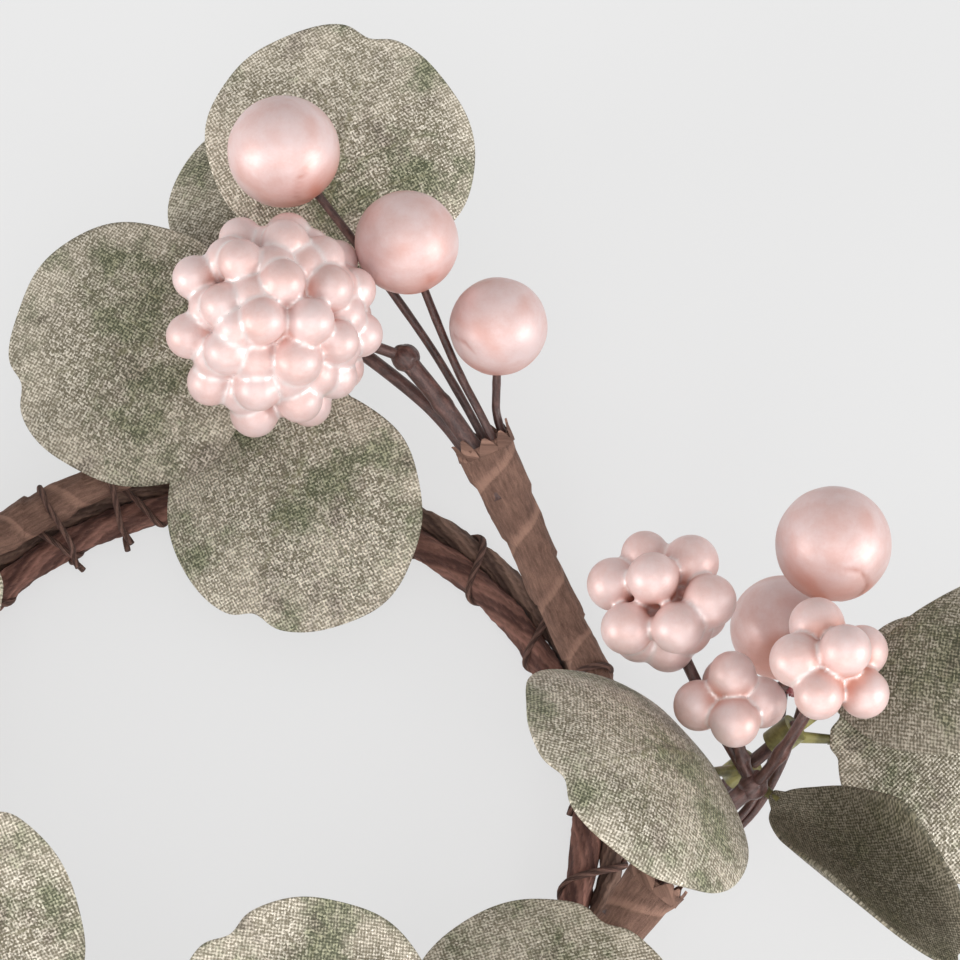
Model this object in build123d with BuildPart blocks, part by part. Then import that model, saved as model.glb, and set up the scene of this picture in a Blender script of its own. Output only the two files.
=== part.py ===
from math import asin, cos, degrees, pi, radians, sin, sqrt, tan
import os

from build123d import *

os.makedirs("parts", exist_ok=True)

# Candle ring: two paper strands bound with wire, carrying five sprays of leaves and pearl berries.
# The origin is on the table at the middle of the candle opening, with +Z up.

# Ring strands
strand_opening = 93.0
inner_strand_diameter = 4.2
outer_strand_diameter = 3.4
strand_gap = 0.06
strand_flat = 0.4
core_wire_diameter = 1.0
core_clearance = 0.05

# Binding wire round both strands
binding_wire_diameter = 1.0
binding_turns = 24
binding_least_gap = 0.4

# Taped stem tails on the ring, and their wire ties
tail_diameter = 5.4
tail_tip_diameter = 2.2
tail_span = 24.0
tail_rest_gap = 0.35
tie_wire_diameter = 0.9
tie_end_length = 2.6
tie_end_gap = 0.8
tie_angles = (7.5, 17.5)

# Bend of each stem, where the sleeve begins
bend_gap = 1.0
stem_wire_diameter = 1.6
stem_wire_depth = 12.0
stem_wire_clearance = 0.05

# Tape sleeve
sleeve_length = 30.0
sleeve_waist_diameter = 6.0
sleeve_waist_share = 0.55
sleeve_mouth_diameter = 8.4
sleeve_lip = 0.8
socket_depth = 8.0
mouth_exit = 1.5

# Leaf twigs, moulded collars and leaf blades
twig_diameter = 2.0
twig_knee_run = 6.0
collar_length = 4.0
collar_wall = 1.0
collar_clearance = 0.05
collar_spacing = 8.0
twig_stub = 0.3
petiole_length = 6.0
petiole_diameter = 1.8
rib_diameter = 1.2
rib_share = 0.55
leaf_length = 36.0
leaf_width = 38.0
leaf_thickness = 0.5
leaf_notch = 1.4
folded_leaf_width = 25.0

# Berry wires, moulded stems, pearl berries and small berries
berry_wire_diameter = 1.2
berry_wire_depth = 4.5
large_berry_diameter = 15.6
middle_berry_diameter = 14.4
lesser_berry_diameter = 13.6
trunk_diameter = 2.6
branch_diameter = 1.5
knob_diameter = 4.0
knob_length = 3.0
small_berry_diameter = 6.3
bud_diameter = 4.6
bud_length = 8.0
bud_tip_diameter = 0.8

# Share of a run that a bend may take up on either side
bend_share = 0.45

# Places across the sleeve's mouth, as inward and upward distances from its axis
twig_place = (1.9, -1.5)
trunk_place = (1.4, 1.4)
berry_wire_places = ((-0.6, -0.7), (-1.0, 2.3), (-2.6, 0.2))

# Bunch shapes: each whorl has a count of small berries, a radius and a depth below the tip berry
broad_bunch = ((5, 5.8, 2.2), (10, 10.4, 6.3), (10, 12.4, 11.8))
full_bunch = ((5, 5.7, 2.2), (8, 9.1, 6.5), (8, 10.0, 12.0))
round_bunch = ((6, 6.5, 3.3), (4, 4.6, 8.6))
short_bunch = ((5, 5.5, 3.8),)
tight_bunch = ((4, 4.3, 4.6),)

# Spray layouts. Places are along the ring, inward and up from the middle of the sleeve's mouth.
# Headings turn inward from the direction along the ring, and pitches rise from level.
# A leaf is (heading, pitch, roll, crown radius): a crown above zero is domed, below zero is folded.
# A bunch is (shape, tip place, heading and pitch of its axis, place that its stem passes).
# A bud is (place, heading and pitch of its axis, number of the bunch that carries it).
bunched_spray = {
    "sleeve_pitch": 30.0,
    "twig": ((21.4, 10.0, 3.4), 30.0, 15.0),
    "lower_leaves": ((-12.0, -6.0, 0.0, 60.0), (131.0, -26.0, 6.0, 48.0)),
    "upper_leaves": ((74.0, -9.0, -14.0, 55.0), (-42.0, 12.0, 10.0, 60.0)),
    "berries": ((42.8, 8.2, 22.4), (24.0, -1.0, 18.4), (9.2, -7.4, 12.4)),
    "berry_knees": ((21.0, 1.0, 7.0), (11.0, -0.6, 6.6), (4.6, -4.6, 4.4)),
    "fork": (12.8, 5.4, 8.6),
    "bunches": ((broad_bunch, (15.4, 18.2, 27.2), -158.0, 52.0, (17.0, 11.0, 13.0)),),
    "bud": None,
}
forked_spray = {
    "sleeve_pitch": 22.0,
    "twig": ((17.2, 0.8, 6.8), -20.0, 38.0),
    "lower_leaves": ((162.0, 46.0, 4.0, 36.0), (-94.0, 12.0, 0.0, -13.0)),
    "upper_leaves": ((-15.0, 12.0, -50.0, 45.0), (-45.0, -14.0, 8.0, 50.0)),
    "berries": ((44.8, 9.8, 22.2), (37.6, 11.2, 4.5)),
    "berry_knees": ((21.0, -6.0, 5.2), (21.0, -4.6, 5.6)),
    "fork": (15.0, -3.0, 11.8),
    "bunches": (
        (round_bunch, (22.3, 22.1, 28.4), 90.0, 72.0, (17.0, 8.0, 17.6)),
        (tight_bunch, (20.2, 6.0, 24.6), 40.0, 62.0, (15.5, 0.5, 16.0)),
        (short_bunch, (29.6, -4.6, 34.0), -30.0, 66.0, (17.0, -5.6, 20.0)),
    ),
    "bud": ((27.8, -0.8, 23.0), -30.0, 40.0, 1),
}
reaching_spray = {
    "sleeve_pitch": 30.0,
    "twig": ((15.5, 1.5, 4.7), 10.0, 18.0),
    "lower_leaves": ((147.0, 32.0, 0.0, 60.0), (-92.0, -6.0, 0.0, 50.0)),
    "upper_leaves": ((80.0, 2.0, 0.0, 50.0), (-33.0, 12.0, 0.0, 55.0)),
    "berries": ((47.0, -1.0, 29.0), (28.0, -15.0, 24.0), (9.0, -13.0, 20.0)),
    "berry_knees": ((24.0, -4.5, 12.0), (11.0, -10.0, 9.0), (4.0, -8.0, 6.0)),
    "fork": (13.0, -6.0, 11.4),
    "bunches": ((full_bunch, (24.0, 5.6, 35.0), -150.0, 66.0, (19.0, -1.0, 18.0)),),
    "bud": None,
}

# Sprays in order round the ring, with the angle where each stem leaves it
sprays = (
    ("spray_1", 28.5, bunched_spray),
    ("spray_2", 129.0, reaching_spray),
    ("spray_3", 190.0, reaching_spray),
    ("spray_4", 252.0, reaching_spray),
    ("spray_5", 317.0, forked_spray),
)

# Places worked out from the driving dimensions
inner_strand_radius = (strand_opening + inner_strand_diameter) / 2
outer_strand_radius = inner_strand_radius + (inner_strand_diameter + outer_strand_diameter) / 2 + strand_gap
inner_strand_height = inner_strand_diameter / 2 - strand_flat
outer_strand_height = outer_strand_diameter / 2 - strand_flat
ring_inside = inner_strand_radius - inner_strand_diameter / 2
ring_outside = outer_strand_radius + outer_strand_diameter / 2
ring_top = inner_strand_height + inner_strand_diameter / 2
tail_radius = tail_diameter / 2
tail_ring_radius = outer_strand_radius + tail_diameter / 9
tail_height = ring_top + binding_wire_diameter / 2 + tail_rest_gap + tail_radius - outer_strand_diameter / 5


# A radial plane of the ring, with X outward and Y up
def radial_plane(angle):
    outward = Vector(cos(radians(angle)), sin(radians(angle)), 0)
    clockwise = Vector(sin(radians(angle)), -cos(radians(angle)), 0)
    return Plane(origin=(0, 0, 0), x_dir=outward, z_dir=clockwise)


# The level plane at a place on the ring, with X along the ring and Y inward
def spray_plane(angle):
    place = radial_plane(angle).from_local_coords(Vector(tail_ring_radius, tail_height, 0))
    along = Vector(-sin(radians(angle)), cos(radians(angle)), 0)
    return Plane(origin=place, x_dir=along, z_dir=(0, 0, 1))


# A direction from a heading and a pitch on a level plane
def direction(plane, heading, pitch):
    level = plane.x_dir * cos(radians(heading)) + plane.y_dir * sin(radians(heading))
    return level * cos(radians(pitch)) + plane.z_dir * sin(radians(pitch))


# A round wire along straight runs joined by arcs
def bent_wire(points, diameter):
    runs = [end - start for start, end in zip(points, points[1:])]
    radii = []
    for before, after in zip(runs, runs[1:]):
        half_turn = radians(before.get_angle(after)) / 2
        radii.append(bend_share * min(before.length, after.length) / tan(half_turn))
    with BuildPart() as wire:
        with BuildLine() as path:
            if radii:
                FilletPolyline(*points, radius=radii)
            else:
                Line(*points)
        with BuildSketch(Plane(origin=path.line @ 0, z_dir=path.line % 0)):
            Circle(diameter / 2)
        sweep(path=path.line)
    return wire.part


# Two arcs between two places that share a tangent where they meet
def biarc(start, start_way, end, end_way):
    start_way = start_way.normalized()
    end_way = end_way.normalized()
    across = end - start
    ways = start_way + end_way
    a = 2 * (1 - start_way.dot(end_way))
    b = 2 * across.dot(ways)
    c = -across.dot(across)
    reach = (-b + sqrt(b * b - 4 * a * c)) / (2 * a)
    first = start + start_way * reach
    last = end - end_way * reach
    middle = (first + last) / 2
    TangentArc(start, middle, tangent=start_way)
    TangentArc(middle, end, tangent=last - first)


# Ring: inner and outer paper strands with their core wires
def strand_profile(radius, height, diameter):
    with BuildSketch(Plane.XZ) as profile:
        with Locations((radius, height)):
            Circle(diameter / 2)
            Circle(core_wire_diameter / 2 + core_clearance, mode=Mode.SUBTRACT)
    return profile.sketch


with BuildPart() as inner_strand:
    add(strand_profile(inner_strand_radius, inner_strand_height, inner_strand_diameter))
    revolve(axis=Axis.Z)
    split(bisect_by=Plane.XY, keep=Keep.TOP)
inner_strand.part.label = "ring_inner_strand"
export_step(inner_strand.part, "parts/ring_inner_strand.step")

with BuildPart() as outer_strand:
    add(strand_profile(outer_strand_radius, outer_strand_height, outer_strand_diameter))
    revolve(axis=Axis.Z)
    split(bisect_by=Plane.XY, keep=Keep.TOP)
outer_strand.part.label = "ring_outer_strand"
export_step(outer_strand.part, "parts/ring_outer_strand.step")

with BuildPart() as core_wires:
    with BuildSketch(Plane.XZ):
        with Locations((inner_strand_radius, inner_strand_height), (outer_strand_radius, outer_strand_height)):
            Circle(core_wire_diameter / 2)
    revolve(axis=Axis.Z)
core_wires.part.label = "ring_core_wires"
export_step(core_wires.part, "parts/ring_core_wires.step")


# Binding wire: the four stations of one turn are the inside, top, outside and bottom of the strands
def binding_station(quarter):
    half_width = (ring_outside - ring_inside) / 2 + binding_wire_diameter / 4
    half_height = ring_top / 2
    middle = (ring_inside + ring_outside) / 2
    turn = radians(90 * quarter)
    angle = 360 * quarter / (4 * binding_turns)
    plane = radial_plane(angle)
    radius = middle - half_width * cos(turn)
    height = half_height + half_height * sin(turn)
    place = plane.from_local_coords(Vector(radius, height, 0))
    outward = plane.x_dir * (half_width * sin(turn) * pi / 2)
    upward = plane.y_dir * (half_height * cos(turn) * pi / 2)
    along = plane.z_dir * (-2 * pi * radius / (4 * binding_turns))
    return place, outward + upward + along


binding_stations = [binding_station(quarter) for quarter in range(4 * binding_turns)]
with BuildPart() as binding_wire:
    with BuildLine() as binding_path:
        for (start, start_way), (end, end_way) in zip(binding_stations, binding_stations[1:]):
            biarc(start, start_way, end, end_way)
    with BuildSketch(Plane(origin=binding_path.line @ 0, z_dir=binding_path.line % 0)):
        Circle(binding_wire_diameter / 2)
    sweep(path=binding_path.line)
    split(bisect_by=Plane.XY, keep=Keep.TOP)
binding_wire.part.label = "binding_wire"
export_step(binding_wire.part, "parts/binding_wire.step")

# Least gap between one stretch of the binding wire and the stretches at least half a turn away
samples_per_turn = 24
binding_samples = [
    binding_path.line @ (step / (samples_per_turn * binding_turns))
    for step in range(samples_per_turn * binding_turns + 1)
]
binding_gap = min(
    (binding_samples[later] - binding_samples[earlier]).length
    for earlier in range(len(binding_samples))
    for later in range(earlier + samples_per_turn // 2, len(binding_samples))
) - binding_wire_diameter
print(f"binding wire: {binding_turns} turns, least gap to itself {binding_gap:.2f} mm")
assert binding_gap > binding_least_gap


# Stem tails: tapered taped stems along the ring, rounded at the bend
def stem_tail(angle):
    rounded_back = degrees((tail_radius + bend_gap / 2) / tail_ring_radius)
    stations = (
        (angle - tail_span, tail_tip_diameter),
        (angle - tail_span * 0.72, (tail_diameter + tail_tip_diameter) / 2 + tail_tip_diameter / 4),
        (angle - tail_span * 0.4, tail_diameter),
        (angle - rounded_back, tail_diameter),
    )
    with BuildPart() as tail:
        for station_angle, diameter in stations:
            with BuildSketch(radial_plane(station_angle)):
                with Locations((tail_ring_radius, tail_height)):
                    Circle(diameter / 2)
        loft()
        with Locations(radial_plane(angle - rounded_back).from_local_coords((tail_ring_radius, tail_height, 0))):
            Sphere(tail_radius)
    return tail.part


# The wire inside a stem runs through its tail, the bend and the foot of its sleeve
def stem_wire_points(angle, layout):
    plane = spray_plane(angle)
    back = degrees(stem_wire_depth / tail_ring_radius)
    return (
        radial_plane(angle - back).from_local_coords(Vector(tail_ring_radius, tail_height, 0)),
        plane.origin,
        plane.origin + direction(plane, 0, layout["sleeve_pitch"]) * stem_wire_depth,
    )


stem_wires = {}
stem_bores = {}
tails = []
for spray, bend_angle, layout in sprays:
    wire_points = stem_wire_points(bend_angle, layout)
    stem_wires[spray] = bent_wire(wire_points, stem_wire_diameter)
    stem_bores[spray] = bent_wire(wire_points, stem_wire_diameter + 2 * stem_wire_clearance)
    tails.append(stem_tail(bend_angle))

with BuildPart() as stem_tails:
    for tail in tails:
        add(tail)
    for spray, bend_angle, layout in sprays:
        add(stem_bores[spray], mode=Mode.SUBTRACT)
stem_tails.part.label = "stem_tails"
export_step(stem_tails.part, "parts/stem_tails.step")


# Wire ties: each goes round the strands and a tail, with its two ends bent in toward the opening
def stem_tie(angle):
    plane = radial_plane(angle)
    end_height = inner_strand_height
    tail_inside = tail_ring_radius - tail_radius
    tail_outside = tail_ring_radius + tail_radius
    tail_top = tail_height + tail_radius
    corners = (
        (ring_inside - tie_end_length, end_height + tie_end_gap + tie_wire_diameter),
        (ring_inside, end_height + tie_end_gap + tie_wire_diameter),
        (tail_inside, tail_top),
        (tail_outside, tail_top),
        (ring_outside, 0),
        (ring_inside, 0),
        (ring_inside, end_height),
        (ring_inside - tie_end_length, end_height),
    )
    radii = (
        tie_wire_diameter,
        tail_radius * 0.8,
        tail_radius * 0.8,
        outer_strand_diameter / 2,
        inner_strand_height * 0.6,
        inner_strand_height * 0.25,
    )
    with BuildPart() as tie:
        with BuildLine(plane) as path:
            FilletPolyline(*corners, radius=radii)
        with BuildSketch(Plane(origin=path.line @ 0, z_dir=path.line % 0)):
            Circle(tie_wire_diameter / 2)
        sweep(path=path.line)
        split(bisect_by=Plane.XY, keep=Keep.TOP)
    return tie.part


ties = [stem_tie(bend_angle - back) for spray, bend_angle, layout in sprays for back in tie_angles]
with BuildPart() as stem_ties:
    for tie in ties:
        add(tie)
stem_ties.part.label = "stem_ties"
export_step(stem_ties.part, "parts/stem_ties.step")


# Tape sleeve: a flared wrap with a rounded foot at the bend and a rounded lip at its mouth
def tape_sleeve(plane, layout, contents):
    axis_way = direction(plane, 0, layout["sleeve_pitch"])
    profile_plane = Plane(origin=plane.origin, x_dir=plane.y_dir, z_dir=plane.y_dir.cross(axis_way))
    foot = bend_gap / 2
    foot_radius = tail_radius
    waist = sleeve_length * sleeve_waist_share
    mouth_radius = sleeve_mouth_diameter / 2
    with BuildPart() as sleeve:
        with BuildSketch(profile_plane):
            with BuildLine():
                RadiusArc((0, foot), (foot_radius, foot + foot_radius), -foot_radius)
                Line((foot_radius, foot + foot_radius), (sleeve_waist_diameter / 2, waist))
                Line((sleeve_waist_diameter / 2, waist), (mouth_radius, sleeve_length - sleeve_lip))
                RadiusArc((mouth_radius, sleeve_length - sleeve_lip),
                          (mouth_radius - sleeve_lip, sleeve_length), -sleeve_lip)
                Line((mouth_radius - sleeve_lip, sleeve_length), (0, sleeve_length))
                Line((0, sleeve_length), (0, foot))
            make_face()
        revolve(axis=Axis(plane.origin, axis_way))
        for piece in contents:
            add(piece, mode=Mode.SUBTRACT)
    return sleeve.part


# A leaf's own plane, with Y along its midrib from the blade's base and Z out of its upper face
def leaf_plane(plane, collar, leaf):
    heading, pitch, roll, crown = leaf
    midrib = direction(plane, heading, pitch)
    upper = (plane.z_dir - midrib * plane.z_dir.dot(midrib)).normalized()
    upper = upper.rotate(Axis((0, 0, 0), midrib), roll)
    return Plane(origin=collar + midrib * petiole_length, x_dir=midrib.cross(upper), z_dir=upper)


# Height of a domed leaf's sphere centre below the line from its base to its tip
def crown_centre(crown):
    return sqrt(crown ** 2 - (leaf_length / 2) ** 2)


# Leaf blade: a broad round outline with a notched tip, domed over a sphere or folded round a cylinder
def leaf_blade(plane, leaf, collar_solid):
    crown = leaf[3]
    width = leaf_width if crown > 0 else folded_leaf_width
    half = leaf_thickness / 2
    with BuildPart() as blade:
        with BuildSketch(plane):
            with BuildLine():
                ThreePointArc((0, 0), (0.36 * width, 0.17 * leaf_length), (0.5 * width, 0.52 * leaf_length))
                ThreePointArc((0.5 * width, 0.52 * leaf_length), (0.36 * width, 0.86 * leaf_length),
                              (leaf_notch, leaf_length))
                Line((leaf_notch, leaf_length), (0, leaf_length - leaf_notch))
                mirror(about=Plane.YZ)
            make_face()
        extrude(amount=abs(crown), both=True)
        if crown > 0:
            centre = plane.from_local_coords(Vector(0, leaf_length / 2, -crown_centre(crown)))
            with Locations(Plane(origin=centre, x_dir=-plane.z_dir, z_dir=plane.x_dir).location):
                Sphere(crown + half, mode=Mode.INTERSECT)
                Sphere(crown - half, mode=Mode.SUBTRACT)
        else:
            centre = plane.from_local_coords(Vector(0, leaf_length / 2, -crown))
            with Locations(Plane(origin=centre, x_dir=plane.z_dir, z_dir=plane.y_dir).location):
                Cylinder(-crown + half, 2 * leaf_length, mode=Mode.INTERSECT)
                Cylinder(-crown - half, 2 * leaf_length, mode=Mode.SUBTRACT)
        add(collar_solid, mode=Mode.SUBTRACT)
    return blade.part


# Rib under a blade: it follows the blade's underside from the base
def leaf_rib(plane, crown):
    rib_plane = Plane(origin=plane.origin, x_dir=plane.y_dir, z_dir=plane.y_dir.cross(plane.z_dir))
    sink = leaf_thickness / 2 + rib_diameter / 2 - leaf_thickness / 3
    with BuildPart() as rib:
        with BuildLine(rib_plane) as path:
            if crown > 0:
                reach = degrees(asin(leaf_length / 2 / crown))
                CenterArc((leaf_length / 2, -crown_centre(crown)), crown - sink, 90 + reach, -2 * reach * rib_share)
            else:
                Line((0, -sink), (leaf_length * rib_share, -sink))
        with BuildSketch(Plane(origin=path.line @ 0, z_dir=path.line % 0)):
            Circle(rib_diameter / 2)
        sweep(path=path.line)
    return rib.part


# Moulded collar: a short tube that turns on the twig, with two petioles and their ribs
def leaf_collar(plane, collar, twig_way, leaves):
    blade_planes = [leaf_plane(plane, collar, leaf) for leaf in leaves]
    ribs = [leaf_rib(blade_plane, leaf[3]) for blade_plane, leaf in zip(blade_planes, leaves)]
    collar_plane = Plane(origin=collar, z_dir=twig_way)
    bore_radius = twig_diameter / 2 + collar_clearance
    with BuildPart() as moulding:
        with Locations(collar_plane.location):
            Cylinder(bore_radius + collar_wall, collar_length)
        for blade_plane, rib in zip(blade_planes, ribs):
            with Locations(Plane(origin=collar, z_dir=blade_plane.y_dir).location):
                Cone(petiole_diameter / 2, rib_diameter / 2, petiole_length + rib_diameter,
                     align=(Align.CENTER, Align.CENTER, Align.MIN))
            add(rib)
        with Locations(collar_plane.location):
            Cylinder(bore_radius, collar_length + 2 * twig_stub + petiole_diameter, mode=Mode.SUBTRACT)
    return moulding.part


# Whorled bunch of small berries on a tapering core, with the tip berry at the plane's origin
def berry_bunch(plane, shape, stem):
    ball = small_berry_diameter / 2
    core = [(0, 0)]
    for count, radius, depth in shape:
        core.append((radius - ball / 2, -depth))
    core.append((0, -shape[-1][2] - ball / 2))
    axis_plane = Plane(origin=plane.origin, x_dir=plane.x_dir, z_dir=-plane.y_dir)
    with BuildPart() as bunch:
        with BuildSketch(axis_plane):
            with BuildLine():
                Polyline(*core, close=True)
            make_face()
        revolve(axis=Axis(plane.origin, plane.z_dir))
        with Locations(plane.origin):
            Sphere(ball)
        for row, (count, radius, depth) in enumerate(shape):
            with Locations(plane.offset(-depth).location):
                with PolarLocations(radius, count, start_angle=180 * row / count):
                    Sphere(ball)
        add(stem, mode=Mode.SUBTRACT)
    return bunch.part


# Sugared bud: a round foot that tapers to a blunt tip
def sugared_bud(plane, stem):
    radius = bud_diameter / 2
    foot = -bud_length / 2
    tip = bud_length / 2
    taper = degrees(asin(radius / (bud_length - radius)))
    profile_plane = Plane(origin=plane.origin, x_dir=plane.x_dir, z_dir=-plane.y_dir)
    with BuildPart() as bud:
        with BuildSketch(profile_plane):
            with BuildLine():
                round_foot = CenterArc((0, foot + radius), radius, -90, 90 + taper)
                Polyline(round_foot @ 1, (bud_tip_diameter / 2, tip), (0, tip), round_foot @ 0)
            make_face()
        revolve(axis=Axis(plane.origin, plane.z_dir))
        add(stem, mode=Mode.SUBTRACT)
    return bud.part


# One spray: its sleeve, twig, collars, leaves, berry stems, berries and bunches
def make_spray(spray, bend_angle, layout):
    plane = spray_plane(bend_angle)
    sleeve_way = direction(plane, 0, layout["sleeve_pitch"])
    mouth = plane.origin + sleeve_way * sleeve_length
    head = Plane(origin=mouth, x_dir=plane.x_dir, z_dir=plane.z_dir)
    mouth_plane = Plane(origin=mouth, x_dir=plane.y_dir, z_dir=sleeve_way)

    def head_place(place):
        return head.from_local_coords(Vector(*place))

    def socket_run(place):
        inside = mouth_plane.from_local_coords(Vector(*place, -socket_depth))
        outside = mouth_plane.from_local_coords(Vector(*place, mouth_exit))
        return inside, outside

    # Leaf twig: its far stretch is straight through both collars
    first_collar, twig_heading, twig_pitch = layout["twig"]
    twig_way = direction(head, twig_heading, twig_pitch)
    lower_collar = head_place(first_collar)
    upper_collar = lower_collar + twig_way * collar_spacing
    twig_knee = lower_collar - twig_way * twig_knee_run
    twig_end = upper_collar + twig_way * (collar_length / 2 + twig_stub)
    twig = bent_wire((*socket_run(twig_place), twig_knee, twig_end), twig_diameter)

    # Moulded trunk, with a branch to each bunch
    fork = head_place(layout["fork"])
    trunk_socket = socket_run(trunk_place)
    trunk_way = fork - trunk_socket[1]
    trunk = bent_wire((*trunk_socket, fork), trunk_diameter)
    bunch_planes = []
    core_places = []
    branches = []
    for shape, tip, heading, pitch, bend in layout["bunches"]:
        way = direction(head, heading, pitch)
        bunch_plane = Plane(origin=head_place(tip), z_dir=way)
        core_places.append(bunch_plane.origin - way * shape[-1][2])
        bunch_planes.append(bunch_plane)
        branches.append(bent_wire((fork, head_place(bend), core_places[-1]), branch_diameter))
    if layout["bud"]:
        bud_place, bud_heading, bud_pitch, carrier = layout["bud"]
        bud_plane = Plane(origin=head_place(bud_place), z_dir=direction(head, bud_heading, bud_pitch))
        branches.append(bent_wire((core_places[carrier], bud_plane.origin), branch_diameter))
    with BuildPart() as bunch_stem:
        add(trunk)
        for branch in branches:
            add(branch)
        with Locations(Plane(origin=fork, z_dir=trunk_way).location):
            Cylinder(knob_diameter / 2, knob_length)

    # Berry wires and pearl berries
    berry_diameters = (large_berry_diameter, middle_berry_diameter, lesser_berry_diameter)
    wires = []
    berries = []
    for place, knee, start, diameter in zip(layout["berries"], layout["berry_knees"], berry_wire_places,
                                            berry_diameters):
        centre = head_place(place)
        wire_end = centre - (centre - head_place(knee)).normalized() * (diameter / 2 - berry_wire_depth)
        wire = bent_wire((*socket_run(start), head_place(knee), wire_end), berry_wire_diameter)
        with BuildPart() as berry:
            with Locations(centre):
                Sphere(diameter / 2)
            add(wire, mode=Mode.SUBTRACT)
        wires.append(wire)
        berries.append(berry.part)

    # Collars and leaves
    lower_moulding = leaf_collar(head, lower_collar, twig_way, layout["lower_leaves"])
    upper_moulding = leaf_collar(head, upper_collar, twig_way, layout["upper_leaves"])
    lower_blades = [
        leaf_blade(leaf_plane(head, lower_collar, leaf), leaf, lower_moulding) for leaf in layout["lower_leaves"]
    ]
    upper_blades = [
        leaf_blade(leaf_plane(head, upper_collar, leaf), leaf, upper_moulding) for leaf in layout["upper_leaves"]
    ]

    # Bunches and bud
    bunches = [
        berry_bunch(bunch_plane, bunch[0], bunch_stem.part)
        for bunch_plane, bunch in zip(bunch_planes, layout["bunches"])
    ]
    if layout["bud"]:
        bunches.append(sugared_bud(bud_plane, bunch_stem.part))

    sleeve = tape_sleeve(plane, layout, [twig, trunk, stem_bores[spray], *wires])
    print(f"{spray}: lower collar at {lower_collar}, upper collar at {upper_collar}, twig way {twig_way}")
    return {
        "stem_wire": [stem_wires[spray]],
        "tape_sleeve": [sleeve],
        "leaf_twig": [twig],
        "lower_collar": [lower_moulding],
        "lower_leaves": lower_blades,
        "upper_collar": [upper_moulding],
        "upper_leaves": upper_blades,
        "berry_stems": [*wires, bunch_stem.part],
        "pearl_berries": berries,
        "berry_bunch": bunches,
    }


for spray, bend_angle, layout in sprays:
    for piece, solids in make_spray(spray, bend_angle, layout).items():
        with BuildPart() as node:
            for solid in solids:
                add(solid)
        node.part.label = f"{spray}_{piece}"
        export_step(node.part, f"parts/{spray}_{piece}.step")
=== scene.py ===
from math import atan2, cos, exp, hypot, pi, radians, sin, sqrt

import bmesh
import bpy
from mathutils import Matrix, Quaternion, Vector, kdtree
from mathutils.noise import noise


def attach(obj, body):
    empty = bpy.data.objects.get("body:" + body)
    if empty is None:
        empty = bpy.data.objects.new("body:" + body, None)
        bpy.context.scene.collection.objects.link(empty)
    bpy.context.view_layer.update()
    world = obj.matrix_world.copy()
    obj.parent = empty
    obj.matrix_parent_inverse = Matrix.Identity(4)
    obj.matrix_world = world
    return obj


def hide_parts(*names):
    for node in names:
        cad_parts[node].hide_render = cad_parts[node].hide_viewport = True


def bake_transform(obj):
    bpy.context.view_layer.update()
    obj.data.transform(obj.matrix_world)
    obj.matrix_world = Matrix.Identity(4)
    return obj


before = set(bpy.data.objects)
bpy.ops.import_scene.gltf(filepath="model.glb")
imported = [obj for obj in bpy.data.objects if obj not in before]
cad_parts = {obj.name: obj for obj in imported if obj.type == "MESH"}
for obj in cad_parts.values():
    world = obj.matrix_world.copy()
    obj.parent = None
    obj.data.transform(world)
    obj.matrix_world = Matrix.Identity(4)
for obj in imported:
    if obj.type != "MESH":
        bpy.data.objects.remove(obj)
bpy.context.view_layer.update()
scene = bpy.context.scene
print("frame loaded:", len(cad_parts), "nodes")

# Sizes are in millimetres until a mesh is finished
toMetres = 0.001

# Sizes that several pieces share
ringSize = {
    "innerRadius": 48.6, "innerDiameter": 4.2, "outerRadius": 52.46, "outerDiameter": 3.4,
    "flat": 0.4, "top": 3.8, "inside": 46.5, "outside": 54.16,
}
tapeSize = {
    "ringRadius": 53.06, "height": 6.67, "diameter": 5.4, "span": 24.0,
    "sleeveLength": 30.0, "mouthDiameter": 8.4, "lapPitch": 9.5, "layPerDegree": 3.0,
}
berrySize = {"diameters": (15.6, 14.4, 13.6), "wireDepth": 4.5, "small": 6.3}
veinSize = {"slope": 1.1, "bow": 0.022, "spacing": 6.4}

# Each whorl of a bunch has a count of berries, a radius and a depth below the tip
bunchShapes = {
    "broad": ((5, 5.8, 2.2), (10, 10.4, 6.3), (10, 12.4, 11.8)),
    "full": ((5, 5.7, 2.2), (8, 9.1, 6.5), (8, 10.0, 12.0)),
    "round": ((6, 6.5, 3.3), (4, 4.6, 8.6)),
    "short": ((5, 5.5, 3.8),),
    "tight": ((4, 4.3, 4.6),),
}

# Spray layouts: places run along the ring, inward and up from the middle of the sleeve's mouth
# A twig has the place of its lower collar, a heading and a pitch
# A leaf has a heading, a pitch, a roll and a crown radius, and is folded where the crown is below zero
# A bunch has a shape, the place of its tip, a heading, a pitch and a place that its branch passes
# A bud has a place, a heading, a pitch and the number of the bunch that carries it
# A pair's tones dull each leaf toward dark olive: painted shade on shaded and folded leaves, and their duller
# underside colour
bunchedSpray = {
    "pitch": 30.0, "twig": ((21.4, 10.0, 3.4), 30.0, 15.0),
    "lower": ((-12.0, -6.0, 0.0, 60.0), (131.0, -26.0, 6.0, 48.0)), "lowerShadeAndUnderside": (0.2, 0.0),
    "upper": ((74.0, -9.0, -14.0, 55.0), (-42.0, 12.0, 10.0, 60.0)), "upperShadeAndUnderside": (0.3, 0.0),
    "berries": ((42.8, 8.2, 22.4), (24.0, -1.0, 18.4), (9.2, -7.4, 12.4)),
    "knees": ((21.0, 1.0, 7.0), (11.0, -0.6, 6.6), (4.6, -4.6, 4.4)),
    "fork": (12.8, 5.4, 8.6),
    "bunches": (("broad", (15.4, 18.2, 27.2), -158.0, 52.0, (17.0, 11.0, 13.0)),),
    "bud": None,
}
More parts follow.
